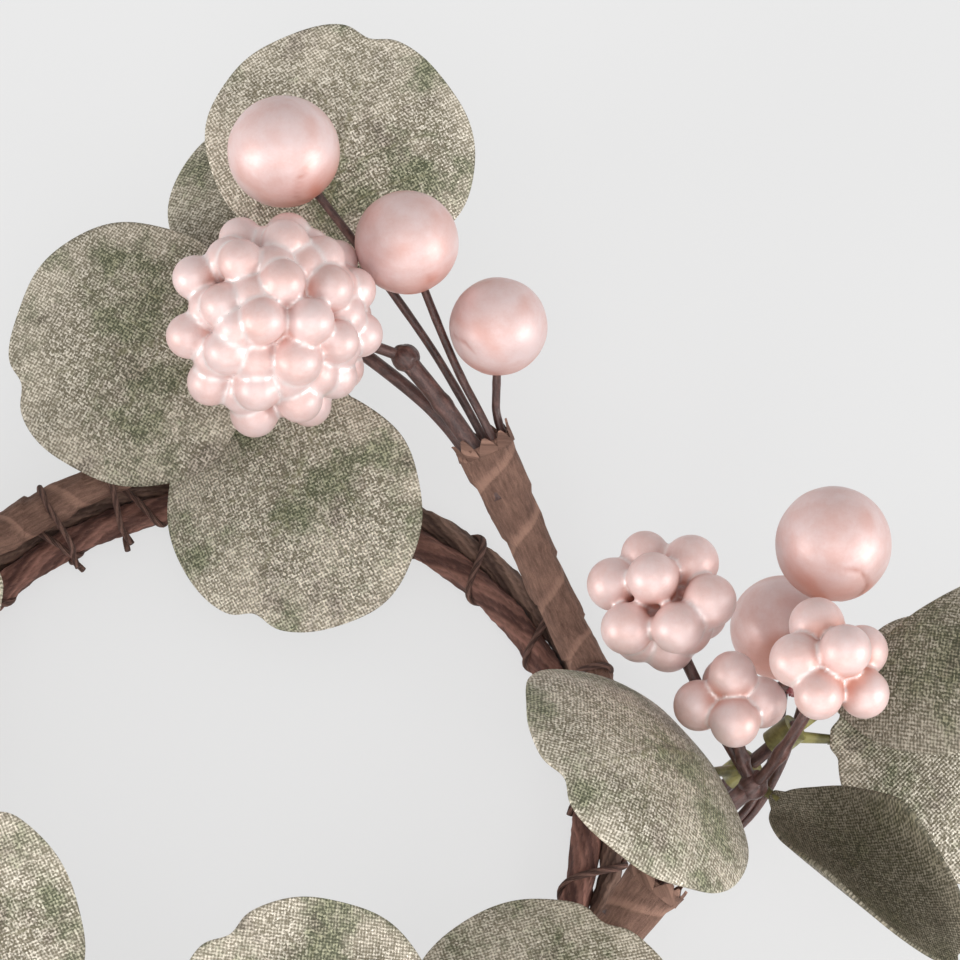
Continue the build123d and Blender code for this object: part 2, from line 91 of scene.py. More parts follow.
forkedSpray = {
    "pitch": 22.0, "twig": ((17.2, 0.8, 6.8), -20.0, 38.0),
    "lower": ((162.0, 46.0, 4.0, 36.0), (-94.0, 12.0, 0.0, -13.0)), "lowerShadeAndUnderside": (0.15, 1.0),
    "upper": ((-15.0, 12.0, -50.0, 45.0), (-45.0, -14.0, 8.0, 50.0)), "upperShadeAndUnderside": (0.6, 0.15),
    "berries": ((44.8, 9.8, 22.2), (37.6, 11.2, 4.5)),
    "knees": ((21.0, -6.0, 5.2), (21.0, -4.6, 5.6)),
    "fork": (15.0, -3.0, 11.8),
    "bunches": (
        ("round", (22.3, 22.1, 28.4), 90.0, 72.0, (17.0, 8.0, 17.6)),
        ("tight", (20.2, 6.0, 24.6), 40.0, 62.0, (15.5, 0.5, 16.0)),
        ("short", (29.6, -4.6, 34.0), -30.0, 66.0, (17.0, -5.6, 20.0)),
    ),
    "bud": ((27.8, -0.8, 23.0), -30.0, 40.0, 1),
}
reachingSpray = {
    "pitch": 30.0, "twig": ((15.5, 1.5, 4.7), 10.0, 18.0),
    "lower": ((147.0, 32.0, 0.0, 60.0), (-92.0, -6.0, 0.0, 50.0)), "lowerShadeAndUnderside": (0.1, 0.25),
    "upper": ((80.0, 2.0, 0.0, 50.0), (-33.0, 12.0, 0.0, 55.0)), "upperShadeAndUnderside": (0.15, 0.1),
    "berries": ((47.0, -1.0, 29.0), (28.0, -15.0, 24.0), (9.0, -13.0, 20.0)),
    "knees": ((24.0, -4.5, 12.0), (11.0, -10.0, 9.0), (4.0, -8.0, 6.0)),
    "fork": (13.0, -6.0, 11.4),
    "bunches": (("full", (24.0, 5.6, 35.0), -150.0, 66.0, (19.0, -1.0, 18.0)),),
    "bud": None,
}
sprays = (
    ("spray_1", 28.5, bunchedSpray),
    ("spray_2", 129.0, reachingSpray),
    ("spray_3", 190.0, reachingSpray),
    ("spray_4", 252.0, reachingSpray),
    ("spray_5", 317.0, forkedSpray),
)


# Shader sockets that take part in Python expressions
class Flow:
    def __init__(self, paint, socket):
        self.paint = paint
        self.socket = socket

    def maths(self, operation, *others):
        return self.paint.node("ShaderNodeMath", {"operation": operation}, dict(enumerate((self, *others))))

    def flipped(self, operation, other):
        return self.paint.node("ShaderNodeMath", {"operation": operation}, {0: other, 1: self})

    def __add__(self, other):
        return self.maths("ADD", other)

    def __radd__(self, other):
        return self.flipped("ADD", other)

    def __sub__(self, other):
        return self.maths("SUBTRACT", other)

    def __rsub__(self, other):
        return self.flipped("SUBTRACT", other)

    def __mul__(self, other):
        return self.maths("MULTIPLY", other)

    def __rmul__(self, other):
        return self.flipped("MULTIPLY", other)

    def __truediv__(self, other):
        return self.maths("DIVIDE", other)

    def __gt__(self, other):
        return self.maths("GREATER_THAN", other)

    def split(self):
        return [self.paint.node("ShaderNodeSeparateXYZ", {}, {0: self}, axis) for axis in range(3)]

    def stretched(self, scale):
        return self.paint.node("ShaderNodeVectorMath", {"operation": "MULTIPLY"}, {0: self, 1: scale})

    def noise(self, scale, detail, roughness):
        return self.paint.node("ShaderNodeTexNoise", {}, {
            "Vector": self, "Scale": scale, "Detail": detail, "Roughness": roughness})

    def sparks(self, scale):
        cell = self.paint.node("ShaderNodeTexVoronoi", {}, {"Vector": self, "Scale": scale}, "Color")
        return cell.split()[0]

    def ramp(self, low, high):
        smooth = {"interpolation_type": "SMOOTHSTEP"}
        return self.paint.node("ShaderNodeMapRange", smooth, {0: self, 1: low, 2: high})

    # A line that rises from zero and falls back to it
    def line(self, risen, falling, fallen):
        return self.ramp(0.0, risen) * (1 - self.ramp(falling, fallen))

    # The colours of a mix node share their names with other sockets, so they go by number
    def blend(self, first, second):
        return self.paint.node("ShaderNodeMix", {"data_type": "RGBA"}, {0: self, 6: first, 7: second}, 2)

    def bump(self, depth, strength):
        return self.paint.node("ShaderNodeBump", {}, {
            "Height": self, "Distance": depth, "Strength": strength})


class Paint:
    def __init__(self, name):
        self.material = bpy.data.materials.new(name)
        self.material.use_nodes = True
        self.tree = self.material.node_tree
        self.tree.nodes.clear()
        self.out = self.tree.nodes.new("ShaderNodeOutputMaterial")

    def node(self, kind, settings, sockets, output=0):
        made = self.tree.nodes.new(kind)
        for key, value in settings.items():
            setattr(made, key, value)
        for key, value in sockets.items():
            if isinstance(value, Flow):
                self.tree.links.new(value.socket, made.inputs[key])
            elif isinstance(value, tuple) and made.inputs[key].type == "RGBA":
                made.inputs[key].default_value = (*value, 1)
            else:
                made.inputs[key].default_value = value
        return Flow(self, made.outputs[output])

    def attribute(self, name, output="Fac"):
        return self.node("ShaderNodeAttribute", {"attribute_name": name}, {}, output)

    # The lay attribute holds each point's place on its piece before it was bent
    def lay(self):
        return self.attribute("lay", "Vector")

    def place(self):
        return self.node("ShaderNodeTexCoord", {}, {}, "Object")

    def shown(self, shader):
        self.tree.links.new(shader.socket, self.out.inputs["Surface"])
        return self.material

    def surface(self, sockets):
        return self.shown(self.node("ShaderNodeBsdfPrincipled", {}, sockets))


# In the looks, a noise has a scale, a detail and a roughness, and a bump has a depth and a strength
# Twisted paper: ply lines wind round the strand, with crinkles along them
paperLook = {
    "plies": 3.0, "streaks": 11.0, "streakTwist": 3.2, "streakWander": 7.0,
    "fibreStretch": (1.6, 1.6, 0.5), "fibre": (1.6, 6.0, 0.65), "shade": (0.12, 0.82), "bump": (0.00022, 0.9),
}


def paperStrand(name, dark, pale, twist):
    paint = Paint(name)
    lay = paint.lay()
    across, up, along = lay.split()
    turn = across.maths("ARCTAN2", up)
    ply = (turn * paperLook["plies"] + along * twist).maths("SINE")
    fibre = lay.stretched(paperLook["fibreStretch"]).noise(*paperLook["fibre"])
    winding = turn * paperLook["streaks"] + along * twist * paperLook["streakTwist"]
    streak = (winding + fibre * paperLook["streakWander"]).maths("SINE")
    shade = (fibre * 0.8 + ply * 0.16 + streak * 0.07).ramp(*paperLook["shade"])
    height = ply * 0.5 + streak * 0.3 + fibre * 0.9
    return paint.surface({
        "Base Color": shade.blend(dark, pale), "Roughness": 0.62 + fibre * 0.2, "Specular IOR Level": 0.35,
        "Normal": height.bump(*paperLook["bump"])})


# Crinkled stem tape: stretch creases run along it and its edges wind up the stem
tapeLook = {
    "creaseStretch": (2.6, 2.6, 0.42), "crease": (1.1, 7.0, 0.68), "grain": (5.5, 4.0, 0.6),
    "blotch": (0.28, 3.0, 0.5), "edge": (0.06, 0.06, 0.22), "shade": (0.32, 0.92), "bump": (0.00035, 0.8),
    "colours": ((0.090, 0.046, 0.033), (0.400, 0.232, 0.172)),
}


def stemTape():
    paint = Paint("stemTape")
    lay = paint.lay()
    across, up, along = lay.split()
    turn = across.maths("ARCTAN2", up)
    lap = (turn / (2 * pi) + along / tapeSize["lapPitch"]).maths("FRACT")
    crease = lay.stretched(tapeLook["creaseStretch"]).noise(*tapeLook["crease"])
    grain = lay.noise(*tapeLook["grain"])
    blotch = lay.noise(*tapeLook["blotch"])
    edge = lap.line(*tapeLook["edge"])
    shade = (crease * 0.62 + grain * 0.25 + blotch * 0.3 + edge * 0.22).ramp(*tapeLook["shade"])
    height = crease * 1.1 + grain * 0.35 + lap * 0.5
    return paint.surface({
        "Base Color": shade.blend(*tapeLook["colours"]), "Roughness": 0.66 + grain * 0.16,
        "Specular IOR Level": 0.3, "Normal": height.bump(*tapeLook["bump"])})


# Moulded stems and berry wires: brown, glossy, with lighter worn streaks
stemLook = {
    "streakStretch": (1.2, 1.2, 0.35), "streak": (1.3, 5.0, 0.6), "speck": (4.2, 3.0, 0.6),
    "shade": (0.38, 0.74), "colours": ((0.055, 0.024, 0.020), (0.180, 0.088, 0.073)), "bump": (0.00025, 0.6),
}


def mouldedStem():
    paint = Paint("mouldedStem")
    lay = paint.lay()
    streak = lay.stretched(stemLook["streakStretch"]).noise(*stemLook["streak"])
    speck = lay.noise(*stemLook["speck"])
    shade = (streak * 0.75 + speck * 0.25).ramp(*stemLook["shade"])
    return paint.surface({
        "Base Color": shade.blend(*stemLook["colours"]), "Roughness": 0.3 + speck * 0.24, "Coat Weight": 0.2,
        "Normal": (streak + speck * 0.4).bump(*stemLook["bump"])})


# Olive moulded leaf collars, worn to brown in patches
collarLook = {
    "patch": (260.0, 4.0, 0.6), "speck": (1500.0, 3.0, 0.6), "shade": (0.35, 0.68),
    "colours": ((0.100, 0.090, 0.030), (0.330, 0.300, 0.105)), "bump": (0.0002, 0.6),
}


def leafCollar():
    paint = Paint("leafCollar")
    place = paint.place()
    patch = place.noise(*collarLook["patch"])
    speck = place.noise(*collarLook["speck"])
    shade = patch.ramp(*collarLook["shade"])
    return paint.surface({
        "Base Color": shade.blend(*collarLook["colours"]), "Roughness": 0.3 + speck * 0.25,
        "Coat Weight": 0.15, "Normal": (patch + speck * 0.3).bump(*collarLook["bump"])})


# Pearl lacquer: peach-pink with a cloudy drift, coral blush in random patches plus coral as painted shade
# toward the stem and between bunched berries, and shiny creases whose colour is painted shade in dents and a
# painted highlight along seams
pearlLook = {
    "cloud": (140.0, 5.0, 0.6), "driftStretch": (1.0, 1.0, 2.4), "drift": (330.0, 4.0, 0.6),
    "fleck": (3200.0, 2.0, 0.5), "shade": (0.44, 0.86), "glow": (0.004, 0.0018, 0.0014),
    "bump": (0.00022, 0.5),
}


def pearlLacquer(name, pale, deep, blush, creaseShadingColour):
    paint = Paint(name)
    place = paint.place()
    creaseShadingAndGloss = paint.attribute("creaseShadingAndGloss")
    blushAndShade = paint.attribute("blushAndShade")
    cloud = place.noise(*pearlLook["cloud"])
    drift = place.stretched(pearlLook["driftStretch"]).noise(*pearlLook["drift"])
    fleck = place.noise(*pearlLook["fleck"])
    shade = (cloud * 0.75 + drift * 0.35 + fleck * 0.12).ramp(*pearlLook["shade"])
    height = cloud * 0.5 + drift * 0.35 + fleck * 0.12
    return paint.surface({
        "Base Color": creaseShadingAndGloss.blend(blushAndShade.blend(shade.blend(pale, deep), blush), creaseShadingColour),
        "Roughness": 0.43 + fleck * 0.1 + drift * 0.06 - creaseShadingAndGloss * 0.25, "Coat Weight": 0.2 + creaseShadingAndGloss * 0.4,
        "Coat Roughness": 0.2, "Specular IOR Level": 0.6, "Metallic": 0.3,
        "Subsurface Weight": 0.06, "Subsurface Radius": pearlLook["glow"], "Subsurface Scale": 0.4,
        "Normal": height.bump(*pearlLook["bump"])})


# Lavender-grey cups under the bunches: moulded, with a pearly wash
cupLook = {
    "streakStretch": (1.4, 1.4, 0.6), "streak": (0.9, 4.0, 0.6), "shade": (0.35, 0.7),
    "colours": ((0.185, 0.150, 0.165), (0.470, 0.430, 0.470)), "bump": (0.0002, 0.5),
}


def cupGloss():
    paint = Paint("cupGloss")
    streak = paint.lay().stretched(cupLook["streakStretch"]).noise(*cupLook["streak"])
    shade = streak.ramp(*cupLook["shade"])
    return paint.surface({
        "Base Color": shade.blend(*cupLook["colours"]), "Roughness": 0.2 + streak * 0.2, "Coat Weight": 0.4,
        "Normal": streak.bump(*cupLook["bump"])})


# Sugared bud: dark pink under coarse glitter
sugarLook = {
    "grains": 2100.0, "shade": (0.55, 1.0), "mirrorFrom": 0.8,
    "colours": ((0.270, 0.065, 0.075), (0.780, 0.480, 0.470)), "bump": (0.0003, 1.0),
}


def sugarCoat():
    paint = Paint("sugarCoat")
    spark = paint.place().sparks(sugarLook["grains"])
    shade = spark.ramp(*sugarLook["shade"])
    return paint.surface({
        "Base Color": shade.blend(*sugarLook["colours"]), "Roughness": 0.5 - spark * 0.3,
        "Metallic": (spark > sugarLook["mirrorFrom"]) * 0.5, "Normal": spark.bump(*sugarLook["bump"])})


# Glittered weave: champagne threads over a dull ground, with gilt, green and brown brushed on, and painted
# shade that dulls shaded and folded leaves toward their underside colour
leafLook = {
    "threadPitch": 0.31, "threadWander": 3.0, "sparks": 3.9, "raised": (0.2, 1.15),
    "drift": (0.5, 2.0, 0.5), "mottle": (0.8, 4.0, 0.65), "wash": (0.085, 4.0, 0.6),
    "smudgeStretch": (1.0, 0.7, 1.3), "smudge": (0.17, 5.0, 0.62),
    "giltStretch": (1.0, 1.0, 1.7), "gilt": (0.11, 3.0, 0.55),
    "painted": (0.61, 0.80), "browned": (0.62, 0.78), "gilded": (0.54, 0.80),
    "vein": (0.05, 0.06, 0.15), "rib": (0.25, 0.7), "inside": (0.45, 0.9), "worn": (0.36, 0.62),
    "thread": ((0.350, 0.300, 0.212), (0.960, 0.890, 0.760)),
    "ground": ((0.110, 0.096, 0.058), (0.250, 0.217, 0.146)),
    "gold": ((0.345, 0.298, 0.218), (0.950, 0.860, 0.715)),
    "green": ((0.045, 0.064, 0.028), (0.120, 0.146, 0.062), (0.400, 0.412, 0.240)),
    "brown": ((0.072, 0.054, 0.040), (0.190, 0.148, 0.118), (0.540, 0.450, 0.380)),
    "shadedUnderside": ((0.040, 0.036, 0.019), (0.170, 0.142, 0.088)),
    "lines": (0.250, 0.235, 0.120), "bump": (0.00018, 0.8),
}


def wovenLeaf():
    paint = Paint("wovenLeaf")
    lay = paint.lay()
    across, along = lay.split()[:2]
    rim = paint.attribute("rim")
    shadeAndUnderside = paint.attribute("shadeAndUnderside")

    perThread = pi / leafLook["threadPitch"]
    wander = lay.noise(*leafLook["drift"]) * leafLook["threadWander"]
    warp = (across * perThread + wander).maths("SINE")
    weft = (along * perThread + wander).maths("SINE")
    mottle = lay.noise(*leafLook["mottle"])
    spark = lay.sparks(leafLook["sparks"])
    raised = (warp * weft * 0.4 + mottle * 0.6 + spark * 0.7).ramp(*leafLook["raised"])

    wash = lay.noise(*leafLook["wash"])
    smudge = lay.stretched(leafLook["smudgeStretch"]).noise(*leafLook["smudge"])
    gilt = lay.stretched(leafLook["giltStretch"]).noise(*leafLook["gilt"])
    painted = (wash + mottle * 0.3).ramp(*leafLook["painted"])
    browned = (smudge + mottle * 0.15).ramp(*leafLook["browned"])
    gilded = (gilt * 0.85 + rim * rim * 0.26 + mottle * 0.15).ramp(*leafLook["gilded"])

    side = across.maths("ABSOLUTE")
    course = along - side * veinSize["slope"] + side * side * veinSize["bow"]
    vein = (course / veinSize["spacing"]).maths("FRACT").line(*leafLook["vein"])
    rib = 1 - side.ramp(*leafLook["rib"])
    inside = 1 - rim.ramp(*leafLook["inside"])
    lines = vein.maths("MAXIMUM", rib) * inside * mottle.ramp(*leafLook["worn"])

    # Brushed paint is dark between the threads and light where they glitter
    def brushed(between, plain, bright):
        return raised.blend(between, spark.blend(plain, bright))

    ground = mottle.blend(*leafLook["ground"])
    thread = spark.blend(*leafLook["thread"])
    colour = (gilded * 0.75).blend(raised.blend(ground, thread), raised.blend(*leafLook["gold"]))
    colour = (painted * 0.8).blend(colour, brushed(*leafLook["green"]))
    colour = (browned * 0.6).blend(colour, brushed(*leafLook["brown"]))
    colour = (lines * 0.4).blend(colour, leafLook["lines"])
    # Painted shade: the per-leaf amount darkens a shaded or folded leaf toward dark olive, which also stands
    # for its duller underside
    colour = (shadeAndUnderside * 0.8).blend(colour, raised.blend(*leafLook["shadedUnderside"]))
    shine = raised * spark * (1 - painted * 0.6) * (1 - shadeAndUnderside * 0.6)
    height = raised * 0.9 + lines * 0.6 + mottle * 0.8
    return paint.surface({
        "Base Color": colour, "Roughness": 0.6 - shine * 0.28, "Metallic": shine * 0.3,
        "Specular IOR Level": 0.4, "Normal": height.bump(*leafLook["bump"])})


# Pale floor: paper with a glow of its own, for the camera and in reflections
floorLook = {
    "haze": (3.0, 2.0, 0.5), "colours": ((0.725, 0.725, 0.725), (0.740, 0.740, 0.740)),
    "glow": (0.865, 0.865, 0.865), "glowShare": 0.74,
}


def floorPaper():
    paint = Paint("floorPaper")
    haze = paint.place().noise(*floorLook["haze"])
    paper = paint.node("ShaderNodeBsdfPrincipled", {}, {
        "Base Color": haze.blend(*floorLook["colours"]), "Roughness": 0.9, "Specular IOR Level": 0.1})
    glow = paint.node("ShaderNodeEmission", {}, {"Color": floorLook["glow"]})
    seen = paint.node("ShaderNodeLightPath", {}, {}, "Is Camera Ray")
    mirrored = paint.node("ShaderNodeLightPath", {}, {}, "Is Glossy Ray")
    share = seen.maths("MAXIMUM", mirrored) * floorLook["glowShare"]
    return paint.shown(paint.node("ShaderNodeMixShader", {}, {0: share, 1: paper, 2: glow}))


paints = {
    "inner": paperStrand("innerPaper", (0.085, 0.036, 0.028), (0.350, 0.172, 0.132), 0.55),
    "outer": paperStrand("outerPaper", (0.080, 0.045, 0.034), (0.330, 0.205, 0.155), -0.6),
    "binding": paperStrand("bindingPaper", (0.066, 0.034, 0.027), (0.290, 0.160, 0.124), 2.2),
    "tape": stemTape(),
    "stem": mouldedStem(),
    "collar": leafCollar(),
    "cup": cupGloss(),
    # Each pearl's last two colours: coral for blush and painted shade, and the crease colour, which is
    # painted shade on the big berries and a painted highlight on the bunches' seams
    "pearl": pearlLacquer("pearlBerry", (0.785, 0.615, 0.600), (0.710, 0.460, 0.420),
                          (0.640, 0.245, 0.170), (0.580, 0.270, 0.220)),
    "smallPearl": pearlLacquer("smallPearl", (0.785, 0.610, 0.590), (0.720, 0.475, 0.430),
                               (0.640, 0.295, 0.220), (0.840, 0.720, 0.700)),
    "sugar": sugarCoat(),
    "leaf": wovenLeaf(),
    "floor": floorPaper(),
}
print("materials made:", len(paints))


# Places on the ring and in a spray

def ringPlace(angle, radius, height):
    turn = radians(angle)
    return Vector((radius * cos(turn), radius * sin(turn), height))


def sprayAxes(angle):
    turn = radians(angle)
    along = Vector((-sin(turn), cos(turn), 0))
    inward = Vector((-cos(turn), -sin(turn), 0))
    return along, inward, Vector((0, 0, 1))


def heading(axes, level, pitch):
    flat = axes[0] * cos(radians(level)) + axes[1] * sin(radians(level))
    return flat * cos(radians(pitch)) + axes[2] * sin(radians(pitch))


def heartOf(bunch, axes, headPlace):
    shape, tip, level, pitch, bend = bunch
    return headPlace(tip) - heading(axes, level, pitch) * bunchShapes[shape][-1][2]


def eased(value, low, high):
    share = min(1.0, max(0.0, (value - low) / (high - low)))
    return share * share * (3 - 2 * share)


def strayOf(spot):
    apart = 11.3
    return Vector([noise(spot + Vector((0, 0, apart * axis))) for axis in range(3)])


# A smooth line through a route's corners
def smoothLine(points, resolution):
    curve = bpy.data.curves.new("route", "CURVE")
    curve.dimensions = "3D"
    curve.resolution_u = resolution
    spline = curve.splines.new("NURBS")
    spline.points.add(len(points) - 1)
    for point, place in zip(spline.points, points):
        point.co = (*place, 1)
    spline.order_u = 3
    spline.use_endpoint_u = True
    holder = bpy.data.objects.new("route", curve)
    mesh = bpy.data.meshes.new_from_object(holder)
    line = [v.co.copy() for v in mesh.vertices]
    bpy.data.meshes.remove(mesh)
    bpy.data.objects.remove(holder)
    bpy.data.curves.remove(curve)
    return line


# A closed tube along a line, ring by ring, with its straightened place kept in lay
def tubeAlong(bm, line, radiusAt, segments, start=0.0):
    layer = bm.verts.layers.float_vector.get("lay") or bm.verts.layers.float_vector.new("lay")
    spans = [(b - a).length for a, b in zip(line, line[1:])]
    total = sum(spans)
    way = (line[1] - line[0]).normalized()
    turn = way.to_track_quat("Z", "Y")
    done = 0.0
    made = []
    edges = None
    for step, place in enumerate(line):
        if step:
            done += spans[step - 1]
            ahead = line[min(step + 1, len(line) - 1)] - line[step - 1]
            turn = way.rotation_difference(ahead.normalized()) @ turn
            way = ahead.normalized()
        radius = radiusAt(done, total)
        if edges is None:
            ring = bmesh.ops.create_circle(bm, segments=segments, radius=radius, cap_ends=True)["verts"]
            edges = list({e for v in ring for e in v.link_edges})
            local = {v: v.co.copy() for v in ring}
        else:
            grown = bmesh.ops.extrude_edge_only(bm, edges=edges)["geom"]
            ring = [g for g in grown if isinstance(g, bmesh.types.BMVert)]
            edges = [g for g in grown if isinstance(g, bmesh.types.BMEdge)
                     and g.verts[0] in ring and g.verts[1] in ring]
            back = turnBefore.to_matrix().to_4x4().inverted() @ Matrix.Translation(-placeBefore)
            scale = radius / radiusBefore
            local = {v: (back @ v.co) * scale for v in ring}
        for v in ring:
            v[layer] = (local[v].x, local[v].y, start + done)
            v.co = place + turn @ local[v]
        placeBefore, turnBefore, radiusBefore = place, turn, radius
        made += ring
    bmesh.ops.edgeloop_fill(bm, edges=edges)
    return made


# Moves a tube's points out from its line by an amount that depends on the straightened place
def swell(bm, verts, amount):
    layer = bm.verts.layers.float_vector["lay"]
    for v in verts:
        x, y, s = v[layer]
        if hypot(x, y) > 1e-6:
            v.co += v.normal * amount(atan2(y, x), s)


def scaled(bm, factor):
    bmesh.ops.scale(bm, vec=(factor, factor, factor), verts=bm.verts)


def finishPiece(bm, name, paint, body=None, nodes=()):
    bmesh.ops.remove_doubles(bm, verts=bm.verts, dist=1e-5)
    bmesh.ops.recalc_face_normals(bm, faces=bm.faces)
    scaled(bm, toMetres)
    mesh = bpy.data.meshes.new(name)
    bm.to_mesh(mesh)
    bm.free()
    for face in mesh.polygons:
        face.use_smooth = True
    mesh.materials.append(paints[paint])
    piece = bpy.data.objects.new(name, mesh)
    scene.collection.objects.link(piece)
    if body:
        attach(piece, body)
    if nodes:
        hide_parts(*nodes)
    return piece


# Ring strands, spun from a round section and twisted
strandSize = {"plies": 4, "plyDepth": 0.34, "sunk": 0.3, "crinkles": ((0.9, 0.22), (2.3, 0.1))}


def makeStrand(name, radius, diameter, paint, nodes, twist):
    bm = bmesh.new()
    layer = bm.verts.layers.float_vector.new("lay")
    height = diameter / 2 - ringSize["flat"]
    stand = Matrix.Translation((radius, 0, height)) @ Matrix.Rotation(pi / 2, 4, "X")
    section = bmesh.ops.create_circle(bm, segments=28, radius=diameter / 2, matrix=stand)["verts"]
    edges = list({e for v in section for e in v.link_edges})
    bmesh.ops.spin(bm, geom=section + edges, axis=(0, 0, 1), cent=(0, 0, 0),
                   angle=2 * pi, steps=420, use_merge=True)
    bmesh.ops.recalc_face_normals(bm, faces=bm.faces)
    turns = round(twist * radius)
    for v in bm.verts:
        angle = atan2(v.co.y, v.co.x)
        outward = hypot(v.co.x, v.co.y) - radius
        up = v.co.z - height
        around = atan2(up, outward)
        v[layer] = (outward, up, angle * radius)
        ply = abs(sin((strandSize["plies"] * around + turns * angle) / 2))
        crinkle = sum(noise(v.co * scale) * depth for scale, depth in strandSize["crinkles"])
        v.co += v.normal * (ply * strandSize["plyDepth"] - strandSize["sunk"] + crinkle)
        v.co.z = max(v.co.z, 0.0)
    finishPiece(bm, name, paint, "ring", nodes)


makeStrand("innerStrand", ringSize["innerRadius"], ringSize["innerDiameter"], "inner",
           ("ring_inner_strand", "ring_core_wires"), 0.62)
makeStrand("outerStrand", ringSize["outerRadius"], ringSize["outerDiameter"], "outer",
           ("ring_outer_strand",), -0.7)


# Binding wire: one winding round both strands, a little uneven in pitch and thickness
bindingSize = {
    "diameter": 1.0, "turns": 24, "pointsPerTurn": 16,
    "sway": 0.9, "swayPace": 0.31, "lowest": 0.45, "uneven": 0.06, "unevenPace": 0.9,
}


def makeBinding():
    bm = bmesh.new()
    perTurn = bindingSize["pointsPerTurn"]
    count = bindingSize["turns"] * perTurn
    middle = (ringSize["inside"] + ringSize["outside"]) / 2
    halfWidth = (ringSize["outside"] - ringSize["inside"]) / 2 + bindingSize["diameter"] / 4
    halfHeight = ringSize["top"] / 2
    points = []
    for step in range(count - perTurn // 4 + 1):
        turn = 2 * pi * step / perTurn
        angle = 360 * step / count + bindingSize["sway"] * sin(step * bindingSize["swayPace"])
        height = max(halfHeight + halfHeight * sin(turn), bindingSize["lowest"])
        points.append(ringPlace(angle, middle - halfWidth * cos(turn), height))

    def radiusAt(s, total):
        drift = noise(Vector((s * bindingSize["unevenPace"], 0, 0)))
        return bindingSize["diameter"] / 2 + bindingSize["uneven"] * drift

    tubeAlong(bm, smoothLine(points, resolution=2), radiusAt, segments=10)
    finishPiece(bm, "bindingWire", "binding", "ring", ("binding_wire",))


# Wire ties: each goes over a tail and under the strands, with both ends inside the ring
tieSize = {
    "diameter": 0.9, "endLength": 2.6, "endGap": 0.8, "angles": (7.5, 17.5), "sway": 0.5, "swayPace": 1.7,
    "layStep": 60.0,
}


def makeTies():
    bm = bmesh.new()
    inside, outside = ringSize["inside"], ringSize["outside"]
    tailInside = tapeSize["ringRadius"] - tapeSize["diameter"] / 2
    tailOutside = tapeSize["ringRadius"] + tapeSize["diameter"] / 2
    tailTop = tapeSize["height"] + tapeSize["diameter"] / 2
    low = ringSize["innerDiameter"] / 2 - ringSize["flat"]
    high = low + tieSize["endGap"] + tieSize["diameter"]
    corners = (
        (inside - tieSize["endLength"], high), (inside - 0.4, high + 0.2), (inside - 0.3, high + 1.4),
        (tailInside - 0.1, tailTop - 1.6), (tailInside + 0.9, tailTop + 0.3),
        (tailOutside - 0.9, tailTop + 0.3), (tailOutside + 0.2, tailTop - 2.2),
        (outside + 0.4, 3.4), (outside + 0.3, 0.6), (outside - 1.6, 0.45),
        (inside + 1.4, 0.45), (inside - 0.3, 0.6), (inside - 0.4, low), (inside - tieSize["endLength"], low),
    )
    start = 0.0
    for spray, bend, layout in sprays:
        for back in tieSize["angles"]:
            points = []
            for k, (radius, height) in enumerate(corners):
                sway = tieSize["sway"] * sin(k * tieSize["swayPace"] + back)
                points.append(ringPlace(bend - back + sway, radius, height))
            line = smoothLine(points, resolution=6)
            tubeAlong(bm, line, lambda s, total: tieSize["diameter"] / 2, segments=10, start=start)
            start += tieSize["layStep"]
    finishPiece(bm, "stemTies", "binding", "ring", ("stem_ties",))


makeBinding()
makeTies()
print("ring made")


# Torn ends of the tape: thin curling points round the sleeve's mouth
tearSize = {
    "count": 9, "scatter": 0.6, "root": 1.5, "reach": (0.7, 2.2), "width": (1.5, 0.8), "curl": (0.2, 0.7),
    "taper": 0.85, "lift": 0.06, "cupped": 0.12, "ripple": 0.15,
}


def tearTape(bm, mouth, way, across, mark):
    layer = bm.verts.layers.float_vector["lay"]
    rise = way.cross(across)
    radius = tapeSize["mouthDiameter"] / 2
    for k in range(tearSize["count"]):
        drift = noise(Vector((k * 1.9, mark, 0.3)))
        angle = 2 * pi * (k + tearSize["scatter"] * drift) / tearSize["count"]
        reach = tearSize["reach"][0] + tearSize["reach"][1] * abs(noise(Vector((k * 2.7, mark, 4.1))))
        width = tearSize["width"][0] + tearSize["width"][1] * abs(drift)
        curl = tearSize["curl"][0] + tearSize["curl"][1] * drift
        out = across * cos(angle) + rise * sin(angle)
        aside = way.cross(out)
        for v in bmesh.ops.create_grid(bm, x_segments=2, y_segments=7, size=1.0)["verts"]:
            share = (v.co.y + 1) / 2
            sideways = v.co.x * width * (1 - tearSize["taper"] * share ** 1.5)
            along = share * (reach + tearSize["root"]) - tearSize["root"]
            bow = tearSize["cupped"] * (v.co.x * width) ** 2
            ripple = tearSize["ripple"] * noise(Vector((share * 3, k, mark)))
            lift = radius + tearSize["lift"] + curl * share ** 2 - bow + ripple
            wound = mark * tapeSize["layPerDegree"] + sideways + along * 2
            v[layer] = (cos(angle) * radius, sin(angle) * radius, wound)
            v.co = mouth + way * along + out * lift + aside * sideways


# Taped stem: one skin from the tail's tip, round the bend, to the sleeve's mouth
# A row has a share of the tail, a length past it and a diameter, and a crinkle has two scales and a depth
skinSize = {
    "rows": (
        (0.0, 0.0, 2.2), (0.28, 0.0, 4.4), (0.6, 0.0, tapeSize["diameter"]), (1.0, 4.0, 5.5),
        (1.0, 16.0, 6.0), (1.0, tapeSize["sleeveLength"], tapeSize["mouthDiameter"]),
    ),
    "tailPoints": 6, "sleevePlaces": (0.0, 8.0, 18.0, tapeSize["sleeveLength"]),
    "lap": 0.42, "sunk": 0.2, "folds": (2.2, 0.22, 0.34), "wrinkles": (6, 0.5, 0.12),
}


